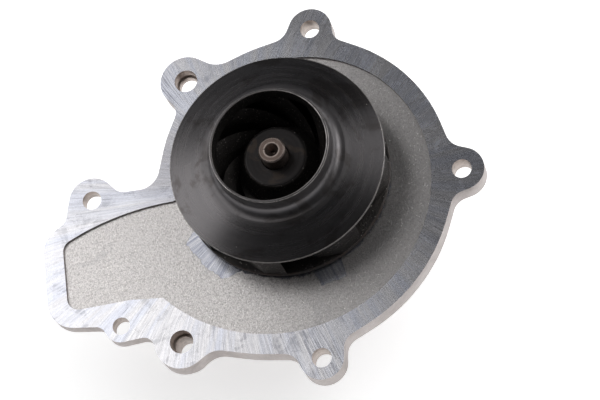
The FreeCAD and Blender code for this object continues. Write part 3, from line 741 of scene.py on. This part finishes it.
def shroud_outline():
    """The shroud's edge, cone, neck and rim, then the eye's wall and the underside."""
    flare = arc(FLARE, (NECK + 1.15, FLARE[1] + 1.1), (NECK, FILLET_TOP), FILLET_STEPS)
    inner = arc((EYE, FILLET_TOP - 0.6), (EYE + 1.5, FLARE[1] - 0.5),
                (FLARE[0], FLARE[1] - SHROUD_WALL), 10)
    outline = [(SHROUD - 0.35, SHROUD_EDGE - 1.3, RIM), (SHROUD - 0.08, SHROUD_EDGE - 1.1, RIM),
               (SHROUD, SHROUD_EDGE - 0.9, RIM), (SHROUD, SHROUD_EDGE - 0.25, RIM),
               (SHROUD - 0.07, SHROUD_EDGE - 0.07, RIM), (SHROUD - 0.25, SHROUD_EDGE, TURNED),
               (FLARE[0], FLARE[1], TURNED)]
    outline += [(r, z, TURNED) for r, z in flare]
    outline += [(NECK, RIM_TOP - 0.30, RIM), (NECK - 0.08, RIM_TOP - 0.10, RIM),
                (NECK - 0.25, RIM_TOP - 0.02, TURNED), (NECK - 0.50, RIM_TOP, TURNED),
                (EYE + 0.32, RIM_TOP, RIM), (EYE + 0.10, RIM_TOP - 0.08, RIM),
                (EYE, RIM_TOP - 0.32, CAST), (EYE, FILLET_TOP - 0.6, CAST)]
    outline += [(r, z, CAST) for r, z in inner]
    return outline


def hub_swoop():
    """The curve by which the back plate rises to the hub."""
    return arc((SWOOP_START, DISC_FRONT), SWOOP_MIDDLE, (HUB + 1.0, HUB_TOP - 1.2), SWOOP_STEPS)


def disc_outline():
    """The seat for the seal ring, the back plate with its edge, and the hub."""
    outline = [(BORE, SEAT[1], TURNED), (SEAT[0], SEAT[1], TURNED),
               (SEAT[0], DISC_BACK + 0.3, TURNED), (SEAT[0] + 0.3, DISC_BACK, CAST),
               (DISC - 0.4, DISC_BACK, RUST), (DISC - 0.1, DISC_BACK + 0.12, RUST),
               (DISC, DISC_BACK + 0.4, RUST), (DISC, DISC_FRONT - 0.35, RUST),
               (DISC - 0.1, DISC_FRONT - 0.1, RUST), (DISC - 0.35, DISC_FRONT, CAST),
               (SWOOP_START, DISC_FRONT, CAST)]
    outline += [(r, z, CAST) for r, z in hub_swoop()]
    # the hub's flat top takes a finish darkened as painted shade
    outline += [(HUB + 0.75, HUB_TOP - 0.45, CAST), (HUB + 0.3, HUB_TOP - 0.08, HUB_FACE),
                (HUB - 0.2, HUB_TOP, HUB_FACE), (BORE + 0.4, HUB_TOP, HUB_FACE),
                (BORE, HUB_TOP - 0.4, TURNED)]
    return outline


def vane_row(share, floor_line, roof_line):
    """Corners round a blade's cross section, a share of the way from its nose to its tip."""
    radius = VANE_START + (DISC - 0.15 - VANE_START) * share ** VANE_CROWDING
    nose = min(1.0, 0.25 + math.sqrt(share * 9.0))
    middle = VANE_TIP + math.log(radius / DISC) / math.tan(VANE_ANGLE)
    half = nose * VANE_THICKNESS / (2 * radius * math.sin(VANE_ANGLE))
    half = min(half, VANE_WIDEST)
    low = height_at(floor_line, radius) - VANE_SUNK
    high = height_at(roof_line, radius)
    climb = [level / VANE_LEVELS for level in range(VANE_LEVELS + 1)]
    row = [place_at(radius, middle - half, low + (high - low) * up) for up in climb]
    row += [place_at(radius, middle + half, low + (high - low) * (1 - up)) for up in climb]
    return row


def one_vane():
    """A blade whose angle to the turning direction stays constant from eye to rim."""
    floor_line = [(DISC, DISC_FRONT), (SWOOP_START, DISC_FRONT)] + hub_swoop()
    roof_line = [(VANE_START, VANE_LEAD), (EYE + 0.5, FILLET_TOP - 0.6)]
    roof_line += arc((EYE + 0.5, FILLET_TOP - 0.6), (EYE + 2.0, FLARE[1] + 0.6),
                     (FLARE[0], FLARE[1] - 0.9), 10)
    roof_line += [(SHROUD, SHROUD_EDGE - 0.9)]
    bm = bmesh.new()
    rows = []
    for k in range(VANE_STEPS + 1):
        row = vane_row(k / VANE_STEPS, floor_line, roof_line)
        rows.append([bm.verts.new(place) for place in row])
    for first, second in zip(rows, rows[1:]):
        for j in range(len(first)):
            after = (j + 1) % len(first)
            bm.faces.new((first[j], first[after], second[after], second[j]))
    bm.faces.new(rows[0])
    bm.faces.new(rows[-1])
    bmesh.ops.recalc_face_normals(bm, faces=bm.faces)
    return finish_mesh(bm, "vane")


def build_impeller(turned, rim, cast, rust, hub):
    shroud = settle(lathe("shroud", shroud_outline(), [turned, rim, cast]))
    disc = settle(lathe("disc", disc_outline(), [turned, rim, cast, rust, hub]))
    vanes = copied_round(one_vane(), VANES, cast)
    # the blade tips were turned together with the rims, so they have that finish
    vanes.data.materials.append(turned)
    tip = (DISC - 0.3) * MM
    for face in vanes.data.polygons:
        places = [vanes.data.vertices[i].co for i in face.vertices]
        if min(math.hypot(p.x, p.y) for p in places) > tip:
            face.material_index = 1
    impeller = join("impeller_casting", [shroud, disc, vanes])
    impeller.data.set_sharp_from_angle(angle=math.radians(SHARP_ANGLE))
    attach(impeller, "rotor")
    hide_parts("impeller")


# ------------------------------------------------------------------ housing

HOLES = [(mount["pos_m"][0], mount["pos_m"][1], mount["dims"]["r_mm"] * MM)
         for name, mount in mounts.items()
         if name.endswith(("bolt_hole", "dowel_bore"))]
LAND_FINISH, FLOOR_FINISH, SKIN_FINISH, BORE_FINISH, EDGE_FINISH, STEP_FINISH = range(6)
OUTLET_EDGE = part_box("pump_housing")[0].x + 4.2 * MM     # inner edge of the outlet pad's bevel
BORED = 15.2 * MM               # all walls closer to the shaft than this are bored
LEVEL = 0.9                     # upward part of the normal of a face that counts as level
NEAR = 0.05 * MM
BREAK = 0.7 * MM                # width of the broken edge between cast faces
BREAK_SHARE = 0.3               # share of that width where a worked face meets the edge
BREAK_ANGLE = math.radians(28)  # edges blunter than this are left as they are
COVER_SHARP = 32.0
FLATTEST = 0.97                 # faces that look up or down more squarely are shaded flat


def is_recess_wall(face):
    lowest = min(v.co.z for v in face.verts)
    return abs(face.normal.z) < 0.2 and lowest > RECESS - NEAR


def housing_finish(face):
    """Which surface of the casting a face belongs to."""
    centre = face.calc_center_median()
    on_bevel = centre.x < OUTLET_EDGE and centre.z > LAND - 1.0 * MM
    if face.normal.z > LEVEL and (centre.z > LAND - 0.3 * MM or on_bevel):
        return LAND_FINISH
    if face.normal.z > LEVEL and abs(centre.z - RECESS) < NEAR:
        return FLOOR_FINISH
    for x, y, radius in HOLES:
        corners = [math.hypot(v.co.x - x, v.co.y - y) for v in face.verts]
        if max(corners) < radius + 0.08 * MM:
            return BORE_FINISH
    if is_recess_wall(face):
        return STEP_FINISH
    if math.hypot(centre.x, centre.y) < BORED:
        return BORE_FINISH
    return SKIN_FINISH


def build_housing(finishes):
    bm = bmesh.new()
    bm.from_mesh(nodes["pump_housing"].data)
    bmesh.ops.remove_doubles(bm, verts=bm.verts, dist=1e-6)
    for face in bm.faces:
        face.material_index = housing_finish(face)
    weight = bm.edges.layers.float.new("bevel_weight_edge")
    worked = {LAND_FINISH, FLOOR_FINISH, BORE_FINISH, STEP_FINISH}
    for edge in bm.edges:
        if len(edge.link_faces) != 2 or edge.calc_face_angle(0.0) < BREAK_ANGLE:
            continue
        touched = {face.material_index for face in edge.link_faces}
        edge[weight] = BREAK_SHARE if touched & worked else 1.0
    housing = finish_mesh(bm, "cover_casting", finishes)
    bevel = housing.modifiers.new("broken edges", "BEVEL")
    bevel.limit_method = "WEIGHT"
    bevel.width = BREAK
    bevel.segments = 2
    bevel.material = EDGE_FINISH
    bevel.use_clamp_overlap = True
    settle(housing, COVER_SHARP)
    for face in housing.data.polygons:
        face.use_smooth = abs(face.normal.z) < FLATTEST
    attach(housing, "housing")
    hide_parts("pump_housing")


# ------------------------------------------------------------------ everything else

def finish_hidden_pieces():
    """The CAD pieces whose shape is right get a worked surface each."""
    steel = turned_steel("ground_steel", (0.62, 0.61, 0.60, 1), (0.46, 0.45, 0.44, 1),
                         rough=(0.16, 0.28), feed=0.08 * MM, oil=0.15)
    hub = turned_steel("hub_steel", (0.36, 0.35, 0.34, 1), (0.20, 0.19, 0.185, 1),
                       rough=(0.28, 0.44), feed=0.22 * MM, oil=0.35)
    sheet = turned_steel("pressed_stainless", (0.62, 0.60, 0.58, 1), (0.50, 0.48, 0.46, 1),
                         rough=(0.20, 0.32), feed=0.30 * MM, oil=0.1)
    zinc = turned_steel("zinc_plug", (0.60, 0.57, 0.42, 1), (0.48, 0.44, 0.30, 1),
                        rough=(0.26, 0.40), feed=0.25 * MM, oil=0.2)
    rubber = moulded("black_rubber", (0.020, 0.020, 0.021, 1), (0.038, 0.037, 0.036, 1),
                     roughness=0.62, grain_size=0.35 * MM, depth=0.02 * MM)
    carbon = moulded("lapped_carbon", (0.045, 0.045, 0.048, 1), (0.065, 0.064, 0.066, 1),
                     roughness=0.34, grain_size=0.15 * MM, depth=0.005 * MM)
    ceramic = moulded("lapped_ceramic", (0.84, 0.82, 0.76, 1), (0.78, 0.75, 0.69, 1),
                      roughness=0.22, grain_size=0.25 * MM, depth=0.004 * MM)
    polymer = moulded("cage_polymer", (0.58, 0.43, 0.24, 1), (0.50, 0.36, 0.19, 1),
                      roughness=0.42, grain_size=0.4 * MM, depth=0.01 * MM)
    choices = {
        "pump_shaft": shaft_nose(), "drive_hub": hub, "weep_reservoir_plug": zinc,
        "bearing_outer_ring": steel, "bearing_balls": steel, "bearing_rollers": steel,
        "ball_cage": polymer, "roller_cage": polymer,
        "inner_bearing_seal": rubber, "outer_bearing_seal": rubber,
        "inner_bearing_seal_insert": sheet, "outer_bearing_seal_insert": sheet,
        "seal_case": sheet, "seal_bellows": rubber, "seal_spring": steel,
        "seal_spring_collar": sheet, "seal_carbon_ring": carbon,
        "seal_mating_ring": ceramic, "mating_ring_cup": rubber, "slinger_ring": rubber}
    for node, material in choices.items():
        nodes[node].material_slots[0].material = material


# ------------------------------------------------------------------ floor, light, camera

# the camera looks down at a slant: place in metres, direction, roll, lens in millimetres
CAMERA_PLACE = Vector((0.15524, -0.30236, 0.83082))
CAMERA_LOOK = Vector((-0.17921, 0.34867, -0.91995))
CAMERA_ROLL = math.radians(-30.19)
CAMERA_LENS = 141.66
SENSOR_WIDTH = 36.0
FLOOR_REACH = 3.0               # half the side of the white ground, in metres


def add_camera():
    level = CAMERA_LOOK.cross(Vector((0, 0, 1))).normalized()
    upright = level.cross(CAMERA_LOOK).normalized()
    right = level * math.cos(CAMERA_ROLL) + upright * math.sin(CAMERA_ROLL)
    up = right.cross(CAMERA_LOOK).normalized()
    pose = Matrix((right, up, -CAMERA_LOOK.normalized())).transposed().to_4x4()
    pose.translation = CAMERA_PLACE
    camera = bpy.data.objects.new("camera", bpy.data.cameras.new("camera"))
    camera.data.lens = CAMERA_LENS
    camera.data.sensor_width = SENSOR_WIDTH
    camera.data.clip_start = 0.01
    camera.matrix_world = pose
    bpy.context.scene.collection.objects.link(camera)
    bpy.context.scene.camera = camera


def add_floor():
    mesh = bpy.data.meshes.new("floor")
    reach = FLOOR_REACH
    mesh.from_pydata([(-reach, -reach, 0), (reach, -reach, 0), (reach, reach, 0),
                      (-reach, reach, 0)], [], [(0, 1, 2, 3)])
    mesh.materials.append(white_paper())
    link_mesh("floor", mesh)


def add_softbox(name, centre, aim, size, radiance, turn=0.0, mirrored=True):
    """A rectangular diffuser of even radiance, turned by degrees round the vertical.

    One that is not mirrored gives light, but no surface shows its reflection.
    """
    width, depth = size
    lamp = bpy.data.lights.new(name, "AREA")
    lamp.shape = "RECTANGLE"
    lamp.size = width
    lamp.size_y = depth
    lamp.energy = radiance * math.pi * width * depth
    light = bpy.data.objects.new(name, lamp)
    light.location = centre
    facing = (Vector(aim) - Vector(centre)).to_track_quat("-Z", "Y").to_euler()
    facing.z += math.radians(turn)
    light.rotation_euler = facing
    light.visible_glossy = mirrored
    bpy.context.scene.collection.objects.link(light)


def add_light():
    world = bpy.data.worlds.new("studio")
    world.use_nodes = True
    n = Nodes(world.node_tree)
    ray = n.add("ShaderNodeTexCoord").outputs["Generated"]
    # the room is light near the horizon and dark overhead
    glow = n.span(n.parts(ray)[2], 0.12, 0.48, 0.55, 0.03, smooth=True)
    background = world.node_tree.nodes["Background"]
    background.inputs["Color"].default_value = (0.94, 0.96, 1.0, 1)
    world.node_tree.links.new(glow, background.inputs["Strength"])
    bpy.context.scene.world = world
    target = (0.0, 0.0, LAND)
    # the big box hangs over the outlet side, and its near edge fades across the cover
    add_softbox("outlet_softbox", (-1.35, 0.36, 1.36), (-1.35, 0.36, 0.0),
                size=(2.0, 1.35), radiance=1.55, turn=25.0)
    add_softbox("right_softbox", (1.35, 0.65, 1.10), target, size=(0.7, 0.7), radiance=5.5)
    add_softbox("high_softbox", (0.68, 0.60, 1.36), target, size=(0.6, 0.8), radiance=0.45)
    add_softbox("ceiling_fill", (0.7, 0.8, 1.8), target, size=(2.4, 2.4), radiance=1.5,
                mirrored=False)
    scene = bpy.context.scene
    scene.view_settings.view_transform = "Standard"
    scene.view_settings.look = "None"


# ------------------------------------------------------------------ assembly

add_camera()
add_floor()
add_light()
build_housing([milled_aluminium(), blasted_floor(),
               cast_skin("cast_skin", (0.66, 0.60, 0.585, 1), (0.50, 0.445, 0.43, 1),
                         grain_size=0.5 * MM, depth=0.06 * MM, metallic=0.6),
               bored_wall(), filed_edge(),
               # painted shade: the recess walls get a much darker copy of the cast skin, standing
               # in for the shade they lie in
               cast_skin("recess_wall_painted_shade", (0.36, 0.315, 0.30, 1), (0.20, 0.175, 0.168, 1),
                         grain_size=0.3 * MM, depth=0.04 * MM, metallic=0.6)])
build_impeller(black_turned(), rubbed_rim(), black_cast(), rusted_edge(),
               # painted shade: the hub's flat top gets a near-black steel, standing in for the
               # shade of the eye around it
               turned_steel("hub_face_painted_shade", (0.036, 0.033, 0.033, 1), (0.024, 0.022, 0.022, 1),
                            rough=(0.34, 0.44), feed=0.14 * MM, oil=0.2))
finish_hidden_pieces()
